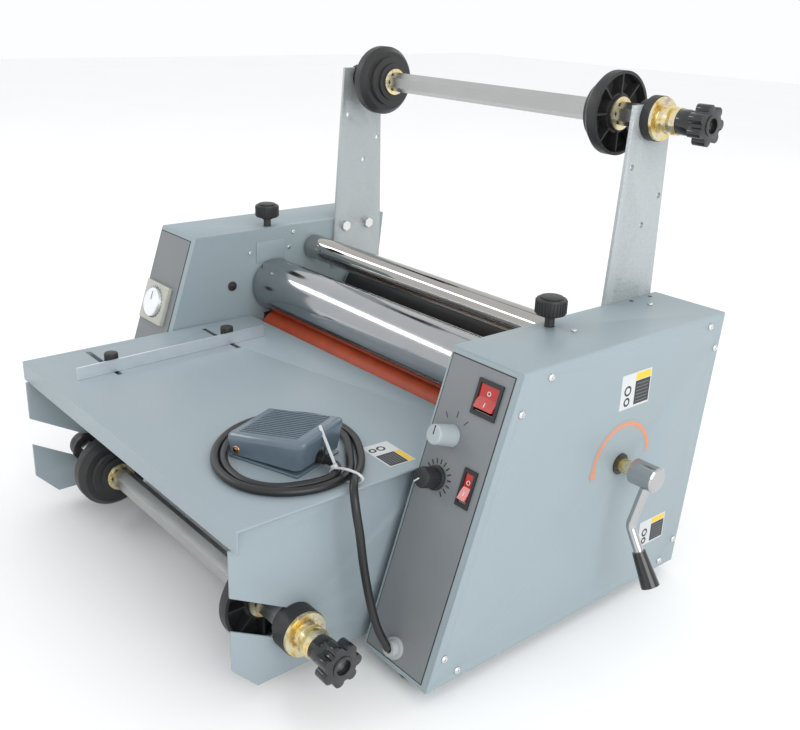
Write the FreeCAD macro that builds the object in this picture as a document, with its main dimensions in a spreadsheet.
"""Desktop roll laminator with a heated top roller, unwind and rewind shafts and a foot switch.

The machine frame has X to the control side, Y to the outfeed and Z up. Sizes below are in millimetres
from the middle of the machine, from the bottom front edge of the housings and from the floor, and
every piece is then moved by origin_x and origin_y, so that the part stands on its own middle.
"""
import FreeCAD, Part
import math
import os
import re
import Sketcher

DIMENSIONS = {
    # where the middle of the whole part lies in machine sizes
    "origin_x": 26.0, "origin_y": 108.0,
    # housings
    "half_gap": 195.0, "wall": 73.0, "foot": 12.0, "height": 245.4,
    "slope_run": 79.0, "rear_top": 327.2, "rear_bottom": 302.7,
    "frame_wall": 3.0, "cover_wall": 1.5, "panel_run": 1.6,
    # table and skirts
    "table_top": 151.5, "table_wall": 2.0, "table_front": 110.0, "table_rear": 141.0,
    "table_half": 193.5, "lip": 18.5, "skirt_face": 186.0, "skirt_wall": 2.0,
    "skirt_front": 112.0, "slot_back": 60.0, "slot_height": 52.1, "notch_r": 11.75,
    # rollers
    "nip_y": 172.5, "heat_z": 183.2, "heat_r": 28.6, "press_z": 132.3, "press_r": 22.0,
    "pull_y": 286.0, "pull_top_z": 166.6, "pull_low_z": 127.6, "pull_r": 19.3,
    "idler_y": 225.6, "idler_z": 218.3, "idler_r": 13.5, "roller_half": 190.0,
    # crank
    "crank_y": 202.5, "crank_z": 139.4, "crank_r": 6.0, "cam_r": 9.0, "cam_offset": 4.0,
    # drive
    "motor_y": 245.0, "motor_z": 85.0, "chain_x": 218.0, "chain_wide": 4.0,
    # film shafts
    "top_shaft_y": 291.0, "top_shaft_z": 400.2, "hex_flats": 17.0, "chuck_r": 35.0,
    "bracket_wall": 3.0, "bracket_top": 411.0,
    # foot switch
    "pedal_x": 116.5, "pedal_y": -20.5, "pedal_long": 64.0, "pedal_wide": 52.0,
    "cord_wide": 6.5,
    "guide_face": -121.8, "guide_y": 14.0,
}

doc = FreeCAD.newDocument("laminator")
sheet = doc.addObject("Spreadsheet::Sheet", "Dims")
for row, (alias, number) in enumerate(DIMENSIONS.items(), start=1):
    sheet.set(f"A{row}", alias)
    sheet.set(f"B{row}", str(number))
    sheet.setAlias(f"B{row}", alias)
doc.recompute()

ALONG_X = FreeCAD.Rotation(FreeCAD.Vector(0, 1, 0), 90)
ALONG_Y = FreeCAD.Rotation(FreeCAD.Vector(1, 0, 0), -90)
UPRIGHT = FreeCAD.Rotation()
nodes = {}


def size(alias):
    """A driving dimension as a plain number."""
    return float(getattr(sheet, alias))


def rule(text):
    """A sum written with the sheet's words, as a FreeCAD expression."""
    return re.sub(r"[a-z][a-z_]+[a-z]", lambda word: "Dims." + word.group(), str(text))


def bind(item, **sizes):
    for name, text in sizes.items():
        item.setExpression(name, rule(text))
    return item


def put(item, x, y, z, turn=UPRIGHT):
    """Place a piece at machine sizes, moved to the part's own origin."""
    item.Placement = FreeCAD.Placement(FreeCAD.Vector(), turn)
    item.setExpression("Placement.Base.x", rule(f"({x}) - origin_x"))
    item.setExpression("Placement.Base.y", rule(f"({y}) - origin_y"))
    item.setExpression("Placement.Base.z", rule(f"{z}"))
    return item


def keep(label, item):
    """Give a finished piece the name of its node."""
    item.Label = label
    nodes[label] = item
    return item


def box(long, wide, high, x, y, z, turn=UPRIGHT):
    item = doc.addObject("Part::Box", "box")
    return put(bind(item, Length=long, Width=wide, Height=high), x, y, z, turn)


def rod(radius, long, x, y, z, turn=ALONG_X):
    item = doc.addObject("Part::Cylinder", "rod")
    return put(bind(item, Radius=radius, Height=long), x, y, z, turn)


def hex_bar(flats, long, x, y, z):
    item = doc.addObject("Part::Prism", "hex_bar")
    item.Polygon = 6
    return put(bind(item, Circumradius=f"({flats}) / 1.7320508", Height=long), x, y, z, ALONG_X)


def fuse(*items):
    item = doc.addObject("Part::MultiFuse", "fusion")
    item.Shapes = list(items)
    return item


def cut(base, *tools):
    item = doc.addObject("Part::Cut", "cut")
    item.Base = base
    item.Tool = tools[0] if len(tools) == 1 else fuse(*tools)
    return item


def group(items):
    """Separate solids that share one node."""
    item = doc.addObject("Part::Compound", "group")
    item.Links = list(items)
    return item


def origin_plane(body, role):
    return next(plane for plane in body.Origin.OriginFeatures if plane.Role == role)


def new_sketch(body, role):
    sketch = body.newObject("Sketcher::SketchObject", "profile")
    sketch.AttachmentSupport = (origin_plane(body, role), [""])
    sketch.MapMode = "FlatFace"
    return sketch


def pin(sketch, kind, line, text):
    """Fix one coordinate of a line's start, by a rule in the sheet's words."""
    if text == "0":
        axis = -2 if kind == "DistanceX" else -1
        sketch.addConstraint(Sketcher.Constraint("PointOnObject", line, 1, axis))
        return
    number = sketch.addConstraint(Sketcher.Constraint(kind, -1, 1, line, 1, 1.0))
    sketch.setExpression(f"Constraints[{number}]", rule(text))


def draw(sketch, points):
    """A closed outline of straight lines through points given as rules."""
    first = sketch.GeometryCount
    turns = [2 * math.pi * step / len(points) for step in range(len(points))]
    guess = [FreeCAD.Vector(50 * math.cos(turn), 50 * math.sin(turn), 0) for turn in turns]
    for step in range(len(points)):
        sketch.addGeometry(Part.LineSegment(guess[step], guess[(step + 1) % len(points)]))
    for step in range(len(points)):
        follower = first + (step + 1) % len(points)
        sketch.addConstraint(Sketcher.Constraint("Coincident", first + step, 2, follower, 1))
    for step, (across, up) in enumerate(points):
        pin(sketch, "DistanceX", first + step, str(across))
        pin(sketch, "DistanceY", first + step, str(up))


def draw_circle(sketch, across, up, radius):
    number = sketch.addGeometry(Part.Circle(FreeCAD.Vector(9, 9, 0), FreeCAD.Vector(0, 0, 1), 3))
    for kind, text in (("DistanceX", across), ("DistanceY", up)):
        constraint = sketch.addConstraint(Sketcher.Constraint(kind, -1, 1, number, 3, 1.0))
        sketch.setExpression(f"Constraints[{constraint}]", rule(text))
    constraint = sketch.addConstraint(Sketcher.Constraint("Radius", number, 3.0))
    sketch.setExpression(f"Constraints[{constraint}]", rule(radius))


def new_body():
    return doc.addObject("PartDesign::Body", "body")


def pad(body, sketch, long, backwards=False):
    feature = body.newObject("PartDesign::Pad", "pad")
    feature.Profile = sketch
    feature.Reversed = backwards
    feature.setExpression("Length", rule(long))
    body.Tip = feature
    return feature


def pocket(body, sketch, long, backwards=False):
    feature = body.newObject("PartDesign::Pocket", "pocket")
    feature.Profile = sketch
    feature.Reversed = backwards
    feature.setExpression("Length", rule(long))
    body.Tip = feature
    return feature


def plate(points, thick, x, holes=(), notches=()):
    """A plate that stands along Y and Z, with its -X face at x."""
    body = new_body()
    sketch = new_sketch(body, "YZ_Plane")
    draw(sketch, points)
    for hole in holes:
        draw_circle(sketch, *hole)
    pad(body, sketch, thick)
    for notch in notches:
        sketch = new_sketch(body, "YZ_Plane")
        if len(notch) == 3:
            draw_circle(sketch, *notch)
        else:
            draw(sketch, notch)
        pocket(body, sketch, thick, backwards=True)
    return put(body, x, "0", "0")


def turned(profile, x, y, z, turn=UPRIGHT):
    """A solid of revolution about X: the profile holds pairs of place along X and radius."""
    body = new_body()
    sketch = new_sketch(body, "XY_Plane")
    draw(sketch, profile)
    feature = body.newObject("PartDesign::Revolution", "turning")
    feature.Profile = sketch
    feature.ReferenceAxis = (sketch, ["H_Axis"])
    feature.Angle = 360
    body.Tip = feature
    return put(body, x, y, z, turn)


def ring(outer, inner, long, x, y, z):
    profile = [("0", inner), (long, inner), (long, outer), ("0", outer)]
    return turned(profile, x, y, z)


# ---- side housings ------------------------------------------------------------------------------
SCREW_SPOTS = (
    (106.9, 236.6), (78.5, 214.7), (17.2, 35.0), (31.1, 18.5),
    (306.0, 236.4), (317.5, 215.6), (298.5, 34.5), (280.8, 18.5),
)
PIVOT_HOLES = {
    "heat": ("nip_y", "heat_z", "17"),
    "idler": ("idler_y", "idler_z", "8"),
    "pull_top": ("pull_y", "pull_top_z", "10"),
    "pull_low": ("pull_y", "pull_low_z", "10"),
    "crank": ("crank_y", "crank_z", "9"),
}
BOLT_SPOTS = ((268.5, 237.2), (301.1, 237.2))
BLOCK_WINDOW = (
    ("nip_y - 13", "press_z - 28"), ("nip_y + 13", "press_z - 28"),
    ("nip_y + 13", "press_z + 19"), ("nip_y - 13", "press_z + 19"),
)
low_front = ("panel_run + slope_run * cover_wall / (height - foot)", "foot + cover_wall")
high_front = ("panel_run + slope_run * (1 - cover_wall / (height - foot))", "height - cover_wall")
high_rear = ("rear_top - panel_run", "height - cover_wall")
low_rear = ("rear_bottom - panel_run", "foot + cover_wall")


def frame_plate(side):
    holes = list(PIVOT_HOLES.values())
    holes += [(str(y), str(z), "3.1") for y, z in BOLT_SPOTS]
    x = "half_gap" if side > 0 else "-half_gap - frame_wall"
    outline = [low_front, high_front, high_rear, low_rear]
    return plate(outline, "frame_wall", x, holes, notches=[BLOCK_WINDOW])


def cover(side):
    """Folded sheet: outer side, top, back and bottom in one piece, open at the front and inboard."""
    body = new_body()
    outline = new_sketch(body, "YZ_Plane")
    draw(outline, [("0", "foot"), ("slope_run", "height"), ("rear_top", "height"), ("rear_bottom", "foot")])
    for y, z in SCREW_SPOTS:
        draw_circle(outline, str(y), str(z), "1.7")
    if side > 0:
        draw_circle(outline, "crank_y", "crank_z", "9")
    folded = pad(body, outline, "wall", backwards=side < 0)
    hollow = new_sketch(body, "YZ_Plane")
    draw(hollow, [
        ("-20", "foot + cover_wall"), ("slope_run - 20", "height - cover_wall"), high_rear, low_rear])
    hollowed = pocket(body, hollow, "wall - cover_wall", backwards=side > 0)
    put(body, "half_gap" if side > 0 else "-half_gap", "0", "0")
    doc.recompute()
    far = side * size("wall")
    bends = []
    for number, edge in enumerate(hollowed.Shape.Edges, start=1):
        ends = [vertex.Point for vertex in edge.Vertexes]
        outer = len(ends) == 2 and all(abs(end.x - far) < 0.01 for end in ends)
        top = outer and all(abs(end.z - size("height")) < 0.01 for end in ends)
        back = outer and all(end.y > size("rear_bottom") - 0.01 for end in ends)
        if top or back:
            bends.append(f"Edge{number}")
    feature = body.newObject("PartDesign::Fillet", "bend")
    feature.Base = (hollowed, bends)
    feature.Radius = 2.2
    body.Tip = feature
    return body


SLOPE = math.atan2(size("slope_run"), size("height") - size("foot"))
OUTWARD = FreeCAD.Rotation(FreeCAD.Vector(1, 0, 0), 90 - math.degrees(SLOPE))


def on_panel(item, x, run, lift=0.0):
    """Place a piece on a sloping front: its Z points out, its Y runs up the slope."""
    y = run * math.sin(SLOPE) - lift * math.cos(SLOPE)
    z = size("foot") + run * math.cos(SLOPE) + lift * math.sin(SLOPE)
    item.Placement = FreeCAD.Placement(
        FreeCAD.Vector(x - size("origin_x"), y - size("origin_y"), z), OUTWARD)
    return item


def panel_box(wide, tall, deep, x, run, lift):
    """A block centred on a spot of the sloping front, from lift outwards."""
    item = bind(doc.addObject("Part::Box", "block"), Length=wide, Width=tall, Height=deep)
    on_panel(item, x - wide / 2, run - tall / 2, lift)
    return item


def panel_rod(radius, deep, x, run, lift):
    item = bind(doc.addObject("Part::Cylinder", "dowel"), Radius=radius, Height=deep)
    return on_panel(item, x, run, lift)


POWER = (242.6, 218.8)
MODE = (248.4, 153.0)
SELECTOR = (219.3, 183.1)
SPEED = (217.5, 149.1)
GLAND = (227.6, 15.2)
DIAL = (-238.5, 166.0)


def control_panel(side, *openings):
    front = [
        ("slope_run * cover_wall / (height - foot)", "foot + cover_wall"),
        ("slope_run * (1 - cover_wall / (height - foot))", "height - cover_wall"),
        high_front, low_front]
    x = "half_gap" if side > 0 else "-half_gap - wall + cover_wall"
    return cut(plate(front, "wall - cover_wall", x), *openings)


keep("right_frame_plate", frame_plate(1))
keep("left_frame_plate", frame_plate(-1))
BACK_LEAN = math.atan2(size("rear_top") - size("rear_bottom"), size("height") - size("foot"))
BACKWARD = FreeCAD.Rotation(FreeCAD.Vector(1, 0, 0), -math.degrees(BACK_LEAN))
INLET = (233.0, 64.0)


def back_box(wide, deep, tall, lift):
    """A block on the housing's sloping back, centred on the inlet, from lift outwards."""
    corner = BACKWARD.multVec(FreeCAD.Vector(-wide / 2, lift, -tall / 2))
    lean = (INLET[1] - size("foot")) * math.tan(BACK_LEAN)
    return box(
        wide, deep, tall, INLET[0] + corner.x, f"rear_bottom + {lean + corner.y:.3f}",
        round(INLET[1] + corner.z, 3), BACKWARD)


inlet_hole = back_box(29, 12, 22, -6)
keep("right_cover", cut(cover(1), inlet_hole))
keep("left_cover", cover(-1))
keep("right_control_panel", control_panel(
    1, panel_box(21, 23, 12, *POWER, -8), panel_box(10.4, 25, 12, *MODE, -8),
    panel_rod(4, 12, *SELECTOR, -8), panel_rod(4, 12, *SPEED, -8), panel_rod(6, 12, *GLAND, -8)))
keep("left_control_panel", control_panel(-1, panel_box(43, 38, 12, *DIAL, -8)))

# ---- cross members and feet ---------------------------------------------------------------------
keep("tie_bars", group([
    box("2 * half_gap", "16", "30", "-half_gap", "105", "30"),
    box("2 * half_gap", "16", "30", "-half_gap", "262", "40"),
]))
foot_places = [(side * 231.5, y) for side in (-1, 1) for y in (20, 283)]
keep("rubber_feet", group([rod("11", "foot", x, y, "0", UPRIGHT) for x, y in foot_places]))

# ---- table and skirts ---------------------------------------------------------------------------
table_outline = [
    ("-table_front", "table_top - lip"), ("-table_front + table_wall", "table_top - lip"),
    ("-table_front + table_wall", "table_top - table_wall"),
    ("table_rear - table_wall", "table_top - table_wall"), ("table_rear - table_wall", "table_top - 12"),
    ("table_rear", "table_top - 12"), ("table_rear", "table_top"), ("-table_front", "table_top"),
]
GUIDE_SLOTS = (-49.5, 76.9)
slot_cuts = [box("73", "5.2", "8", "-184.3", f"{y} - 2.6", "table_top - 5") for y in GUIDE_SLOTS]
keep("feed_table", cut(plate(table_outline, "2 * table_half", "-table_half"), *slot_cuts))

skirt_outline = [
    ("-table_front + table_wall", "table_top - table_wall"), ("-table_front + table_wall", "133"),
    ("-skirt_front", "133"), ("-skirt_front", "34.7"), ("-91", "foot"), ("75", "foot"),
    ("75", "table_top - table_wall"),
]
# the film shaft rolls down this slot, which falls by 30 degrees towards the housings
slot_outline = [
    ("-slot_back - notch_r * 0.5", "slot_height - notch_r * 0.866"),
    ("-slot_back + notch_r * 0.5", "slot_height + notch_r * 0.866"),
    ("-slot_back - 69.28 + notch_r * 0.5", "slot_height + 40 + notch_r * 0.866"),
    ("-slot_back - 69.28 - notch_r * 0.5", "slot_height + 40 - notch_r * 0.866"),
]
slot_end = ("-slot_back", "slot_height", "notch_r")
SPACER_SPOTS = ((62, 125), (45, 60))
for name, x, spacer_x in (
        ("left_skirt", "-skirt_face", "-half_gap"),
        ("right_skirt", "skirt_face - skirt_wall", "skirt_face - skirt_wall / 2")):
    sheet_part = plate(skirt_outline, "skirt_wall", x, notches=[slot_outline, slot_end])
    spacer_long = "half_gap - skirt_face + skirt_wall / 2"
    spacers = [rod("6", spacer_long, spacer_x, y, z) for y, z in SPACER_SPOTS]
    keep(name, fuse(sheet_part, *spacers))

# ---- film brackets ------------------------------------------------------------------------------
bracket_outline = [
    ("251", "190"), ("265.5", "bracket_top"), ("316", "bracket_top"), ("320", "245"), ("320", "190")]
bracket_holes = [("271", "361", "2.5"), ("313", "334", "2.5"), ("293.6", "310.3", "2.5")]
bracket_holes += [(str(y), str(z), "3.1") for y, z in BOLT_SPOTS]
notch_outline = [
    ("top_shaft_y - notch_r", "top_shaft_z"), ("top_shaft_y + notch_r", "top_shaft_z"),
    ("top_shaft_y + notch_r", "bracket_top + 5"), ("top_shaft_y - notch_r", "bracket_top + 5"),
]
notch_end = ("top_shaft_y", "top_shaft_z", "notch_r")
for name, x in (("left_bracket", "-half_gap"), ("right_bracket", "half_gap - bracket_wall")):
    keep(name, plate(bracket_outline, "bracket_wall", x, bracket_holes, [notch_outline, notch_end]))


def hex_bolt(side, y, z):
    """An M6 bolt through bracket and frame plate, its head towards the rollers."""
    shank_x = "half_gap - bracket_wall" if side > 0 else "-half_gap - frame_wall - 5"
    head_x = "half_gap - bracket_wall - 4" if side > 0 else "-half_gap + bracket_wall"
    shank = rod("3", "bracket_wall + frame_wall + 5", shank_x, y, z)
    return fuse(shank, hex_bar("10", "4", head_x, y, z))


keep("bracket_bolts", group([hex_bolt(side, y, z) for side in (-1, 1) for y, z in BOLT_SPOTS]))


def cover_screw(side, y, z):
    """A pan head screw in the outer face of a cover."""
    head = [("0", "0"), ("2.0", "0"), ("1.6", "1.8"), ("0.6", "3.0"), ("0", "3.2")]
    turn = UPRIGHT if side > 0 else FreeCAD.Rotation(FreeCAD.Vector(0, 0, 1), 180)
    x = "half_gap + wall" if side > 0 else "-half_gap - wall"
    shank_x = "half_gap + wall - 6" if side > 0 else "-half_gap - wall"
    return fuse(turned(head, x, y, z, turn), rod("1.6", "6", shank_x, y, z))


keep("cover_screws", group([cover_screw(side, y, z) for side in (-1, 1) for y, z in SCREW_SPOTS]))

# ---- bearings -----------------------------------------------------------------------------------
RUNNING = 0.05


def frame_bush(side, hole, journal, long=8.0):
    """A flanged bush in a frame plate, its flange outboard."""
    y, z, radius = PIVOT_HOLES[hole]
    inner = str(journal + RUNNING)
    flange = f"{radius} + 2"
    profile = [
        ("0", inner), (str(long), inner), (str(long), flange), ("frame_wall", flange),
        ("frame_wall", radius), ("0", radius)]
    if side > 0:
        return turned(profile, "half_gap", y, z)
    return turned(profile, "-half_gap", y, z, FreeCAD.Rotation(FreeCAD.Vector(0, 0, 1), 180))


bushes = [frame_bush(side, *spec) for side in (-1, 1) for spec in (
    ("idler", 6.0), ("pull_top", 7.0), ("pull_low", 7.0), ("crank", 6.0))]
bushes.append(ring("9", f"crank_r + {RUNNING}", "5", "half_gap + wall - 4", "crank_y", "crank_z"))


def heat_block(side):
    """The block that carries a journal of the heated roller, and that a pressure screw bears on."""
    flange_x = "half_gap + frame_wall" if side > 0 else "-half_gap - frame_wall - 14"
    boss_x = "half_gap" if side > 0 else "-half_gap - frame_wall"
    flange = box("14", "42", "44", flange_x, "nip_y - 21", "heat_z - 22")
    boss = rod("16.9", "frame_wall", boss_x, "nip_y", "heat_z")
    bore_x = "half_gap - 5" if side > 0 else "-half_gap - 25"
    return cut(fuse(flange, boss), rod(f"11 + {RUNNING}", "30", bore_x, "nip_y", "heat_z"))


keep("bearings", group(bushes + [heat_block(-1), heat_block(1)]))

# ---- rollers ------------------------------------------------------------------------------------
heat_profile = [
    ("-half_gap - 22", "7"), ("half_gap + 34", "7"), ("half_gap + 34", "11"), ("roller_half + 2", "11"),
    ("roller_half + 2", "heat_r - 1"), ("roller_half + 1", "heat_r"), ("-roller_half - 1", "heat_r"),
    ("-roller_half - 2", "heat_r - 1"), ("-roller_half - 2", "11"), ("-half_gap - 22", "11"),
]
heat_tube = turned(heat_profile, "0", "nip_y", "heat_z")
hangers = [
    box("3", "16", "height - cover_wall - heat_z + 8", x, "nip_y - 8", "heat_z - 8")
    for x in ("-half_gap - 41", "half_gap + 45")]
keep("heater_rod", fuse(rod("4.5", "2 * half_gap + 92", "-half_gap - 42", "nip_y", "heat_z"), *hangers))


def sprocket(teeth, y, z, bore):
    """A plate sprocket for the drive chain, its teeth as one outline."""
    tip = 0.5 * 6.35 / math.sin(math.pi / teeth) - 1.2
    root = tip - 2.6
    outline = []
    for tooth in range(teeth):
        for part, radius in ((0.0, root), (0.25, root), (0.45, tip), (0.8, tip)):
            angle = 2 * math.pi * (tooth + part) / teeth
            outline.append((round(radius * math.cos(angle), 3), round(radius * math.sin(angle), 3)))
    wire = Part.makePolygon([FreeCAD.Vector(0, y_, z_) for y_, z_ in outline + outline[:1]])
    body = Part.Face(wire).extrude(FreeCAD.Vector(2.6, 0, 0))
    hub = Part.makeCylinder(bore + 3.5, 6, FreeCAD.Vector(0, 0, 0), FreeCAD.Vector(1, 0, 0))
    hole = Part.makeCylinder(bore, 8, FreeCAD.Vector(-1, 0, 0), FreeCAD.Vector(1, 0, 0))
    item = doc.addObject("Part::Feature", "sprocket")
    item.Shape = body.fuse(hub).cut(hole).removeSplitter()
    return put(item, "chain_x", y, z)


keep("heat_roller", group([heat_tube, sprocket(20, "nip_y", "heat_z", 11.0)]))
output = rod("5", "12.9", "half_gap + 18", "motor_y", "motor_z")
keep("motor_sprocket", fuse(sprocket(13, "motor_y", "motor_z", 5.0), output))
core_profile = [
    ("-half_gap - 11", "0"), ("half_gap + 11", "0"), ("half_gap + 11", "6"), ("roller_half", "6"),
    ("roller_half", "press_r - 5"), ("-roller_half", "press_r - 5"), ("-roller_half", "6"),
    ("-half_gap - 11", "6"),
]
keep("pressure_roller_core", turned(core_profile, "0", "nip_y", "press_z"))
sleeve = ring("press_r", "press_r - 5", "2 * roller_half - 4", "-roller_half + 2", "nip_y", "press_z")
keep("pressure_roller_sleeve", sleeve)
for name, z in (("upper_pull_roller", "pull_top_z"), ("lower_pull_roller", "pull_low_z")):
    pull_profile = [
        ("-half_gap - 10", "0"), ("half_gap + 10", "0"), ("half_gap + 10", "7"), ("roller_half", "7"),
        ("roller_half", "pull_r"), ("-roller_half", "pull_r"), ("-roller_half", "7"),
        ("-half_gap - 10", "7"),
    ]
    keep(name, turned(pull_profile, "0", "pull_y", z))
idler_profile = [
    ("-half_gap - 8", "0"), ("half_gap + 8", "0"), ("half_gap + 8", "6"), ("roller_half + 2", "6"),
    ("roller_half + 1", "idler_r"), ("-roller_half - 1", "idler_r"), ("-roller_half - 2", "6"),
    ("-half_gap - 8", "6"),
]
keep("idler_bar", turned(idler_profile, "0", "idler_y", "idler_z"))


def pressure_block(side):
    """A sliding block that carries the lower roller, with an arm that rests on the cam."""
    def at(inner, outer):
        return inner if side > 0 else outer
    low = box("11", "25", "36", at("half_gap + 0.5", "-half_gap - 11.5"), "nip_y - 12.5", "press_z - 18")
    post = box("8", "8", "29", at("half_gap + 8.5", "-half_gap - 16.5"), "nip_y + 7.5", "press_z - 2")
    arm = box("8", "32", "5", at("half_gap + 8.5", "-half_gap - 16.5"), "nip_y + 7.5", "press_z + 22")
    bore = rod(f"6 + {RUNNING}", "20", at("half_gap - 3", "-half_gap - 16"), "nip_y", "press_z")
    return cut(fuse(low, post, arm), bore)


keep("pressure_blocks", group([pressure_block(-1), pressure_block(1)]))

# ---- pressure crank -----------------------------------------------------------------------------
shaft = rod("crank_r", "2 * half_gap + 114", "-half_gap - 16", "crank_y", "crank_z")
cams = [
    rod("cam_r", "8", x, "crank_y", "crank_z + cam_offset") for x in ("-half_gap - 16.5", "half_gap + 8.5")]
keep("crank_shaft", fuse(shaft, *cams))
HUB_X = 281.0
HUB_LONG = 24.0
hub_profile = [
    ("0", "crank_r"), ("2", "10.5"), (f"{HUB_LONG} - 1.2", "10.5"), (HUB_LONG, "9.3"), (HUB_LONG, "0"),
    ("crank_r * 2", "0"), ("crank_r * 2", "crank_r"),
]
hub = turned(hub_profile, f"{HUB_X}", "crank_y", "crank_z")
LEVER = [(297.0, 199.0, 131.0), (292.0, 193.0, 97.0), (301.5, 193.5, 80.0), (317.0, 195.0, 52.0)]


def bent_rod(points, radius, bend):
    """A round rod along straight runs joined by tangent arcs."""
    places = [FreeCAD.Vector(*point) for point in points]
    edges = []
    start = places[0]
    for corner, follower in zip(places[1:-1], places[2:]):
        back = (start - corner).normalize()
        ahead = (follower - corner).normalize()
        half = back.getAngle(ahead) / 2
        reach = bend / math.tan(half)
        first = corner + back * reach
        last = corner + ahead * reach
        middle = corner + (back + ahead).normalize() * (bend / math.sin(half) - bend)
        edges.append(Part.LineSegment(start, first).toShape())
        edges.append(Part.Arc(first, middle, last).toShape())
        start = last
    edges.append(Part.LineSegment(start, places[-1]).toShape())
    return sweep(edges, places[0], places[1] - places[0], radius)


def sweep(edges, start, direction, radius):
    path = Part.Wire(edges)
    section = Part.Wire(Part.Circle(start, direction, radius).toShape())
    return path.makePipeShell([section], True, True)


grip_start = FreeCAD.Vector(*LEVER[2]) + (FreeCAD.Vector(*LEVER[3]) - FreeCAD.Vector(*LEVER[2])) * 0.08
grip_way = (FreeCAD.Vector(*LEVER[3]) - grip_start)
lever = doc.addObject("Part::Feature", "lever")
lever.Shape = bent_rod(LEVER[:3] + [tuple(grip_start + grip_way * 0.8)], 4.0, 9.0)
keep("crank_arm", fuse(hub, put(lever, "0", "0", "0")))
grip = doc.addObject("Part::Feature", "grip")
grip_solid = Part.makeCone(5.6, 7.6, grip_way.Length, grip_start, grip_way)
grip_hole = Part.makeCylinder(4.0, grip_way.Length * 0.8, grip_start, grip_way)
grip.Shape = grip_solid.cut(grip_hole)
keep("crank_grip", put(grip, "0", "0", "0"))

# ---- drive --------------------------------------------------------------------------------------
gearbox = box("18", "56", "60", "half_gap + 31", "motor_y - 30", "motor_z - 32")
posts = [
    rod("4", "28", "half_gap + frame_wall", f"motor_y + {y}", f"motor_z + {z}")
    for y in (-24, 20) for z in (-26, 22)]
can = rod("25", "20", "half_gap + 49", "motor_y - 2", "motor_z - 2")
keep("gear_motor", fuse(gearbox, can, *posts))


def chain_loop():
    """The chain as one closed band, clear of the tooth tips of both sprockets."""
    def hull(margin):
        rounds = (
            (size("motor_y"), size("motor_z"), 14.3 + margin), (size("nip_y"), size("heat_z"), 20.7 + margin))
        (y1, z1, r1), (y2, z2, r2) = rounds
        way = math.atan2(z2 - z1, y2 - y1)
        gap = math.hypot(y2 - y1, z2 - z1)
        lean = math.acos((r1 - r2) / gap)

        def spot(y, z, radius, angle):
            return FreeCAD.Vector(0, y + radius * math.cos(angle), z + radius * math.sin(angle))
        first = [spot(y1, z1, r1, way + lean), spot(y1, z1, r1, way + math.pi), spot(y1, z1, r1, way - lean)]
        last = [spot(y2, z2, r2, way - lean), spot(y2, z2, r2, way), spot(y2, z2, r2, way + lean)]
        return Part.Face(Part.Wire([
            Part.Arc(*first).toShape(), Part.LineSegment(first[2], last[0]).toShape(),
            Part.Arc(*last).toShape(), Part.LineSegment(last[2], first[0]).toShape()]))
    band = hull(4.2).cut(hull(0.0)).extrude(FreeCAD.Vector(size("chain_wide"), 0, 0))
    item = doc.addObject("Part::Feature", "chain")
    item.Shape = band
    return put(item, "chain_x - 0.7", "0", "0")


keep("drive_chain", chain_loop())
board = box("2", "100", "80", "-half_gap - 20", "100", "40")
chips = [
    box("14", "16", "30", "-half_gap - 34", "112", "52"),
    box("22", "40", "34", "-half_gap - 42", "150", "50"),
    rod("8", "18", "-half_gap - 38", "125", "105"), rod("2", "17", "-half_gap - 20", "104", "44"),
    rod("2", "17", "-half_gap - 20", "196", "116"),
]
keep("control_board", fuse(board, *chips))
inlet = fuse(back_box(27.6, 24, 20.6, -22), back_box(35, 2.5, 27, 0.02))
keep("power_inlet", cut(inlet, back_box(22, 18, 13, -14)))

# ---- switches and knobs on the fronts -----------------------------------------------------------


def bezel(outer, inner, depth, spot):
    """A rocker switch's case: a rim on the panel and an open well behind it."""
    rim = panel_box(*outer, 2.0, *spot, 0)
    well = panel_box(inner[0] + 1.8, inner[1] + 1.8, depth, *spot, -depth)
    return cut(fuse(rim, well), panel_box(*inner, depth + 2, *spot, 1.8 - depth))


keep("switch_cases", group([
    bezel((24.2, 27.0), (19.0, 21.0), 14, POWER), bezel((12.8, 28.6), (8.4, 22.8), 14, MODE)]))
ROCKER_DEPTH = 5.0
ROCKER_TILT = -9.0


def rocker(half_wide, half_long, spot):
    """A rocker tipped on its pin, with two faces that meet in a shallow valley."""
    body = new_body()
    sketch = new_sketch(body, "YZ_Plane")
    draw(sketch, [
        (str(-half_long), "7.6"), ("0", "5.8"), (str(half_long), "7.6"), ("5", "-3"), ("-5", "-3")])
    pad(body, sketch, str(2 * half_wide))
    tip = FreeCAD.Rotation(FreeCAD.Vector(1, 0, 0), ROCKER_TILT)
    on_panel(body, *spot, -ROCKER_DEPTH)
    side = FreeCAD.Placement(FreeCAD.Vector(-half_wide, 0, 0), UPRIGHT)
    body.Placement = body.Placement * FreeCAD.Placement(FreeCAD.Vector(), tip) * side
    return body


keep("power_rocker", rocker(9.2, 9.0, POWER))
keep("mode_rocker", rocker(3.9, 9.9, MODE))


def knob(radius, top_radius, long, spot, stem=3.9):
    """A turning knob that stands off the panel on its own spindle."""
    profile = [
        ("-6", "0"), ("-6", str(stem)), ("0.6", str(stem)), ("0.6", str(radius)),
        (str(long - 1), str(top_radius)), (str(long), str(top_radius - 1)), (str(long), "0")]
    body = turned(profile, "0", "0", "0")
    body.setExpression("Placement.Base.x", None)
    body.setExpression("Placement.Base.y", None)
    body.setExpression("Placement.Base.z", None)
    on_panel(body, *spot, 0.0)
    stand = FreeCAD.Rotation(FreeCAD.Vector(0, 1, 0), -90)
    body.Placement = body.Placement * FreeCAD.Placement(FreeCAD.Vector(), stand)
    return body


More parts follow.
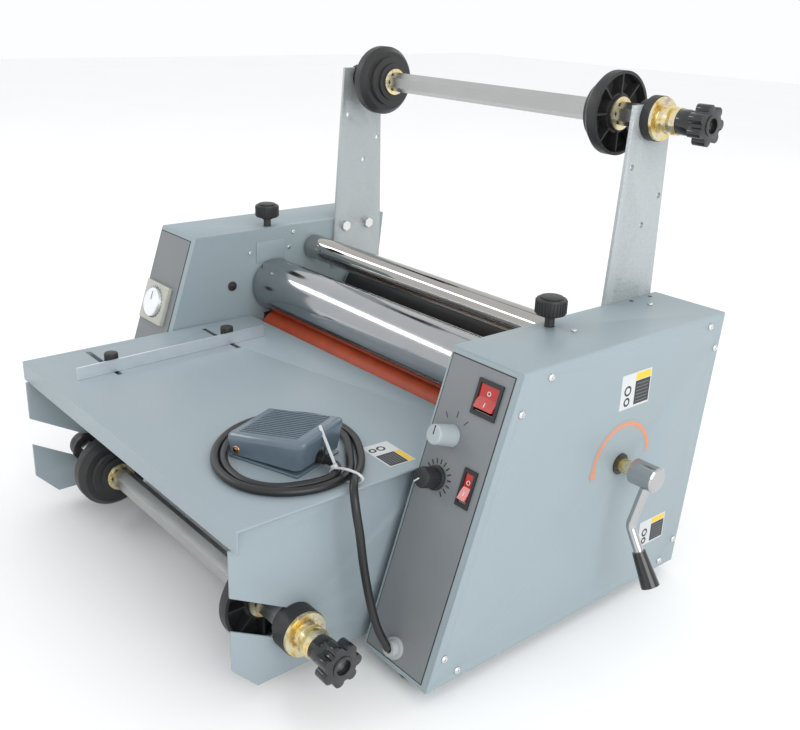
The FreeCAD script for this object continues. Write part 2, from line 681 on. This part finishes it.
keep("selector_knob", knob(8.6, 7.6, 20.0, SELECTOR))
keep("speed_knob", knob(9.6, 8.0, 12.6, SPEED))
controller = fuse(panel_box(47.5, 42.0, 5.0, *DIAL, 0), panel_box(42.6, 37.6, 50, *DIAL, -50))
keep("controller_case", cut(controller, panel_rod(16.4, 8, *DIAL, 2.6), panel_rod(4.2, 12, *DIAL, -6)))
keep("controller_dial", knob(15.8, 15.2, 6.4, DIAL, 4.0))
nodes["controller_dial"].Placement.Base += OUTWARD.multVec(FreeCAD.Vector(0, 0, 2.4))
nut = panel_rod(8.5, 3, *GLAND, 0)
barrel = panel_rod(5.9, 12, *GLAND, -4)
keep("cord_gland", cut(fuse(nut, barrel), panel_rod(3.4, 30, *GLAND, -10)))

# ---- pressure screws ----------------------------------------------------------------------------
SCREW_X = 206.0
for name, side in (("left_pressure_knob", -1), ("right_pressure_knob", 1)):
    profile = [
        ("0", "0"), ("0", "4"), ("40.2", "4"), ("40.2", "9"), ("43", "9"), ("44.5", "6.5"), ("46", "12.6"),
        ("63", "12.6"), ("64.5", "11"), ("64.5", "0")]
    stand = FreeCAD.Rotation(FreeCAD.Vector(0, 1, 0), -90)
    keep(name, turned(profile, side * SCREW_X, "nip_y", "height - 39.6", stand))
for name in ("left_cover", "right_cover"):
    side = -1 if name == "left_cover" else 1
    holed = cut(nodes[name], rod("4.3", "12", side * SCREW_X, "nip_y", "height - 6", UPRIGHT))
    nodes[name].Label = name + "_folded"
    keep(name, holed)

# ---- side guide ---------------------------------------------------------------------------------
SKEW = FreeCAD.Rotation(FreeCAD.Vector(0, 0, 1), 2.4)


def by_guide(across, along, z):
    """A place given from the guide's face and middle, as machine sizes."""
    shift = SKEW.multVec(FreeCAD.Vector(across, along, 0))
    return (f"guide_face + ({shift.x:.3f})", f"guide_y + ({shift.y:.3f})", z)


upright_leg = box("1.5", "203", "11.7", *by_guide(-1.5, -101.5, "table_top + 0.2"), SKEW)
flat_leg = box("16", "203", "1.5", *by_guide(-16, -101.5, "table_top + 0.2"), SKEW)
KNOB_ALONG = [slot - size("guide_y") for slot in GUIDE_SLOTS]
stud_holes = [rod("2.2", "6", *by_guide(-9.5, along, "table_top - 2"), UPRIGHT) for along in KNOB_ALONG]
keep("side_guide", cut(fuse(upright_leg, flat_leg), *stud_holes))
for name, along in zip(("front_guide_knob", "rear_guide_knob"), KNOB_ALONG):
    head = rod("6.4", "13", *by_guide(-9.5, along, "table_top + 3.0"), UPRIGHT)
    collar = rod("5", "1.3", *by_guide(-9.5, along, "table_top + 1.8"), UPRIGHT)
    stud = rod("2", "8", *by_guide(-9.5, along, "table_top - 4"), UPRIGHT)
    foot_disc = rod("5.5", "2.4", *by_guide(-9.5, along, "table_top - 5"), UPRIGHT)
    keep(name, fuse(head, collar, stud, foot_disc))

# ---- film shafts --------------------------------------------------------------------------------


def chuck(x, y, z, facing):
    """A stepped core chuck, open and ribbed at its back; facing says which way its nose points."""
    body = new_body()
    sketch = new_sketch(body, "XY_Plane")
    draw(sketch, [
        ("0", "32.4"), ("0", "chuck_r"), ("9", "chuck_r"), ("15", "chuck_r - 5"), ("15", "25"),
        ("21", "25"), ("21", "19"), ("24", "19"), ("24", "14.4"), ("25", "14.4"), ("25", "9"), ("1", "9"),
        ("1", "14.4"), ("3", "14.4"), ("3", "16.8"), ("12", "16.8"), ("12", "29"), ("9", "32.4")])
    turning = body.newObject("PartDesign::Revolution", "turning")
    turning.Profile = sketch
    turning.ReferenceAxis = (sketch, ["H_Axis"])
    turning.Angle = 360
    rib_sketch = new_sketch(body, "XZ_Plane")
    draw(rib_sketch, [("2", "15.5"), ("2", "33"), ("9", "33"), ("13", "29"), ("13", "15.5")])
    rib = pad(body, rib_sketch, "1.6")
    rib.Midplane = True
    pattern = body.newObject("PartDesign::PolarPattern", "ribs")
    pattern.Originals = [rib]
    pattern.Axis = (next(axis for axis in body.Origin.OriginFeatures if axis.Role == "X_Axis"), [""])
    pattern.Angle = 360
    pattern.Occurrences = 8
    body.Tip = pattern
    put(body, "0", "0", "0")
    bore = hex_bar("hex_flats + 0.16", "60", "-10", "0", "0")
    item = cut(body, bore)
    for part in (body, bore):
        for place in ("x", "y", "z"):
            part.setExpression(f"Placement.Base.{place}", None)
        part.Placement.Base = FreeCAD.Vector(0, 0, 0)
    bore.Placement.Base = FreeCAD.Vector(-10, 0, 0)
    turn = UPRIGHT if facing > 0 else FreeCAD.Rotation(FreeCAD.Vector(0, 0, 1), 180)
    return put(item, x, y, z, turn)


def film_shaft(name, y, z, half, face, sheet_wall, hub_x, chuck_places):
    """Everything on one hexagonal film shaft, which lies in two open slots."""
    left_stub = rod("7.9", 20, f"-{half} - 20", y, z)
    bar = hex_bar("hex_flats", 2 * half, f"-{half}", y, z)
    right_stub = rod("5.9", f"{hub_x} + 43 - {half}", half, y, z)
    keep(name + "_hex_shaft", fuse(left_stub, bar, right_stub))
    groove = "notch_r - 0.25"
    inboard = f"{sheet_wall} + 0.4"
    bush = [
        ("-6", "8"), ("8", "8"), ("8", "14.5"), (inboard, "14.5"), (inboard, groove),
        ("-0.4", groove), ("-0.4", "13.2"), ("-6", "13.2")]
    collar = [
        (f"-{sheet_wall} - 4.4", "6"), (f"{hub_x} - {face}", "6"), (f"{hub_x} - {face}", "18.4"),
        ("0.4", "18.4"), ("0.4", groove), (f"-({inboard})", groove), (f"-({inboard})", "14.5"),
        (f"-{sheet_wall} - 4.4", "14.5")]
    keep(name + "_collars", group([
        turned(bush, f"-{face}", y, z), turned(collar, face, y, z)]))
    hub = [
        ("0.1", "6"), ("19.5", "6"), ("19.5", "10.8"), ("15", "11.8"), ("14", "10.2"), ("12.5", "8.8"),
        ("11.5", "11.6"), ("7.5", "11.6"), ("6.5", "9.4"), ("2.6", "10.4"), ("2.4", "17.6"), ("0.1", "18")]
    keep(name + "_tension_hub", turned(hub, f"{hub_x}", y, z))
    neck = turned(
        [("19.7", "6"), ("48", "6"), ("48", "8.5"), ("33", "9.4"), ("31", "10.4"), ("19.7", "10.4")],
        f"{hub_x}", y, z)
    lobes = [
        rod("4.3", "12", f"{hub_x} + 35", f"{y} + {12.3 * math.cos(turn):.3f}",
            f"{z} + {12.3 * math.sin(turn):.3f}")
        for turn in (2 * math.pi * lobe / 7 for lobe in range(7))]
    disc = cut(rod("12.8", "12", f"{hub_x} + 35", y, z), rod("6", "30", f"{hub_x} + 30", y, z))
    keep(name + "_star_knob", fuse(neck, disc, *lobes))
    for side, (x, facing) in zip(("left", "right"), chuck_places):
        keep(f"{name}_{side}_chuck", chuck(f"{x}", y, z, facing))


film_shaft("top", "top_shaft_y", "top_shaft_z", 184, "half_gap", "bracket_wall", 203.5,
           ((-162.0, 1), (163.0, -1)))
film_shaft("low", "-slot_back", "slot_height", 175, "skirt_face", "skirt_wall", 200.0,
           ((-128.0, 1), (148.0, -1)))

# ---- foot switch --------------------------------------------------------------------------------
PEDAL_TURN = FreeCAD.Rotation(FreeCAD.Vector(0, 0, 1), 18.5)


def on_pedal(item, along, across, up):
    """Place a piece from the foot switch's middle: along its length, across it, above the table."""
    shift = PEDAL_TURN.multVec(FreeCAD.Vector(along, across, 0))
    return put(
        item, f"pedal_x + ({shift.x:.3f})", f"pedal_y + ({shift.y:.3f})", f"table_top + {up}", PEDAL_TURN)


def pedal_box(long, wide, high, along, across, up):
    item = bind(doc.addObject("Part::Box", "block"), Length=long, Width=wide, Height=high)
    return on_pedal(item, along, across, up)


def pedal_block(inset, floor_left, floor_right, roof):
    """A block that grows wider upwards, its roof rising to the cord end and to the back."""
    half = size("pedal_wide") / 2 - inset
    low_end = size("pedal_long") / 2 - inset
    low = [(-low_end, floor_left), (low_end, floor_right)]
    high = [(-low_end - 3.5, roof), (low_end + 5.5, roof + 11.5)]
    near = [(low[0][0], -half, low[0][1]), (low[1][0], -half, low[1][1]),
            (high[1][0], -half, high[1][1]), (high[0][0], -half, high[0][1])]
    far = [(low[0][0], half, low[0][1]), (low[1][0], half, low[1][1]),
           (high[1][0], half, high[1][1] + 3.5), (high[0][0], half, high[0][1] + 3.5)]
    outlines = []
    for corners in (near, far):
        corners = [FreeCAD.Vector(*corner) for corner in corners]
        outlines.append(Part.makePolygon(corners + corners[:1]))
    item = doc.addObject("Part::Feature", "pedal_block")
    item.Shape = Part.makeLoft(outlines, True, True)
    return on_pedal(item, 0, 0, 0.05)


pedal_foot = pedal_box("pedal_long + 2", "pedal_wide + 2", "2.4", -33, -27, 0.02)
hinge_block = pedal_box("9", "44", "10", -27.5, -22, 1)
switch_block = pedal_box("28", "30", "11", -8, -15, 1)
gland_block = pedal_box("5", "11", "11", 23.5, -5.5, 1)
pedal_gland = bind(doc.addObject("Part::Cylinder", "gland"), Radius="4.6", Height="11.5")
shift = PEDAL_TURN.multVec(FreeCAD.Vector(28, 0, 0))
put(pedal_gland, f"pedal_x + ({shift.x:.3f})", f"pedal_y + ({shift.y:.3f})", "table_top + 7.2",
    PEDAL_TURN.multiply(ALONG_X))
shell = cut(
    pedal_block(0, 3.4, 6.2, 17.8), pedal_block(2.2, -6, -6, 15.6),
    pedal_box("16", "13", "17.5", 26, -6.5, 0))
shift = PEDAL_TURN.multVec(FreeCAD.Vector(-25, -30, 0))
outer_pin_hole = bind(doc.addObject("Part::Cylinder", "pin_hole"), Radius="2.3", Height="60")
put(outer_pin_hole, f"pedal_x + ({shift.x:.3f})", f"pedal_y + ({shift.y:.3f})", "table_top + 8",
    PEDAL_TURN.multiply(ALONG_Y))
keep("pedal_cover", cut(shell, outer_pin_hole))
pin_rod = bind(doc.addObject("Part::Cylinder", "pin"), Radius="2", Height="pedal_wide + 1")
shift = PEDAL_TURN.multVec(FreeCAD.Vector(-25, -26.5, 0))
put(pin_rod, f"pedal_x + ({shift.x:.3f})", f"pedal_y + ({shift.y:.3f})", "table_top + 8",
    PEDAL_TURN.multiply(ALONG_Y))
heads = []
for end in (-27.6, 26.1):
    head = bind(doc.addObject("Part::Cylinder", "rivet_head"), Radius="3.4", Height="1.5")
    shift = PEDAL_TURN.multVec(FreeCAD.Vector(-25, end, 0))
    heads.append(put(head, f"pedal_x + ({shift.x:.3f})", f"pedal_y + ({shift.y:.3f})", "table_top + 8",
                     PEDAL_TURN.multiply(ALONG_Y)))
keep("pedal_base", fuse(
    pedal_foot, hinge_block, switch_block, gland_block, pedal_gland, pin_rod, *heads))

# ---- foot switch cord ---------------------------------------------------------------------------
CORD_START = [
    (153.9, -8.0, 158.7), (161.5, -5.9, 158.6), (168.8, -7.6, 157.8), (173.6, -13.0, 156.4),
    (174.6, -21.5, 155.3)]
CORD_LOOP = [
    (172.1, -36.3, 154.8), (163.4, -59.6, 154.8), (142.1, -72.7, 154.8), (113.6, -71.8, 154.8),
    (85.6, -57.0, 154.8), (65.7, -31.9, 154.8), (59.5, -3.0, 154.8), (68.9, 21.8, 154.8),
    (91.8, 36.0, 154.8), (122.0, 35.3, 154.8), (155.0, 21.0, 154.8), (179.5, -4.0, 154.8),
    (183.0, -36.0, 154.8), (168.7, -64.1, 154.8), (144.4, -79.3, 154.8), (112.3, -78.7, 154.8),
    (81.0, -62.3, 154.8), (59.1, -34.2, 154.8), (52.6, -1.7, 154.8), (63.6, 26.4, 154.8),
    (89.4, 42.6, 154.8), (123.3, 42.2, 154.8)]
CORD_DROP = [
    (162.0, 30.0, 154.8), (180.5, 11.5, 155.2), (189.5, -4.0, 157.6), (196.5, -14.5, 158.6),
    (203.8, -19.3, 152.8), (208.8, -20.8, 141.5), (211.0, -19.0, 125.5), (210.6, -15.5, 101.5),
    (212.0, -11.8, 77.5), (216.0, -9.3, 57.0), (222.0, -7.2, 41.0), (227.6, -2.7, 29.0)]


def cord_tube():
    """The cord as straight runs joined by arcs as large as the runs allow."""
    places = [FreeCAD.Vector(*point) for point in CORD_START + CORD_LOOP + CORD_DROP]
    edges = []
    radii = []
    start = places[0]
    for before, corner, after in zip(places, places[1:], places[2:]):
        back = before - corner
        ahead = after - corner
        reach = 0.45 * min(back.Length, ahead.Length)
        half_turn = (math.pi - back.getAngle(ahead)) / 2
        radii.append(reach / math.tan(half_turn))
        back.normalize()
        ahead.normalize()
        first = corner + back * reach
        last = corner + ahead * reach
        centre_way = (back + ahead).normalize()
        depth = radii[-1] / math.cos(half_turn) - radii[-1]
        edges.append(Part.LineSegment(start, first).toShape())
        edges.append(Part.Arc(first, corner + centre_way * depth, last).toShape())
        start = last
    edges.append(Part.LineSegment(start, places[-1]).toShape())
    tube = sweep(edges, places[0], places[1] - places[0], size("cord_wide") / 2)
    long = sum(edge.Length for edge in edges)
    section = math.pi * size("cord_wide") ** 2 / 4
    print("cord radii", [round(radius, 1) for radius in radii])
    print("cord length", round(long, 1), "volume over section times length", tube.Volume / section / long)
    item = doc.addObject("Part::Feature", "cord")
    item.Shape = tube
    return put(item, "0", "0", "0")


keep("foot_cord", cord_tube())

# ---- write --------------------------------------------------------------------------------------
doc.recompute()
for item in doc.Objects:
    if "Invalid" in item.State or "Error" in item.State:
        raise RuntimeError(f"{item.Name} ({item.Label}) failed: {item.State}")
for label, item in nodes.items():
    shape = item.Shape
    if shape.isNull() or not shape.isValid():
        raise RuntimeError(f"{label} has no valid shape")
os.makedirs("parts", exist_ok=True)
for label, item in nodes.items():
    item.Shape.exportStep(f"parts/{label}.step")
    print(label, len(item.Shape.Solids), round(item.Shape.Volume))
print(len(nodes), "nodes")
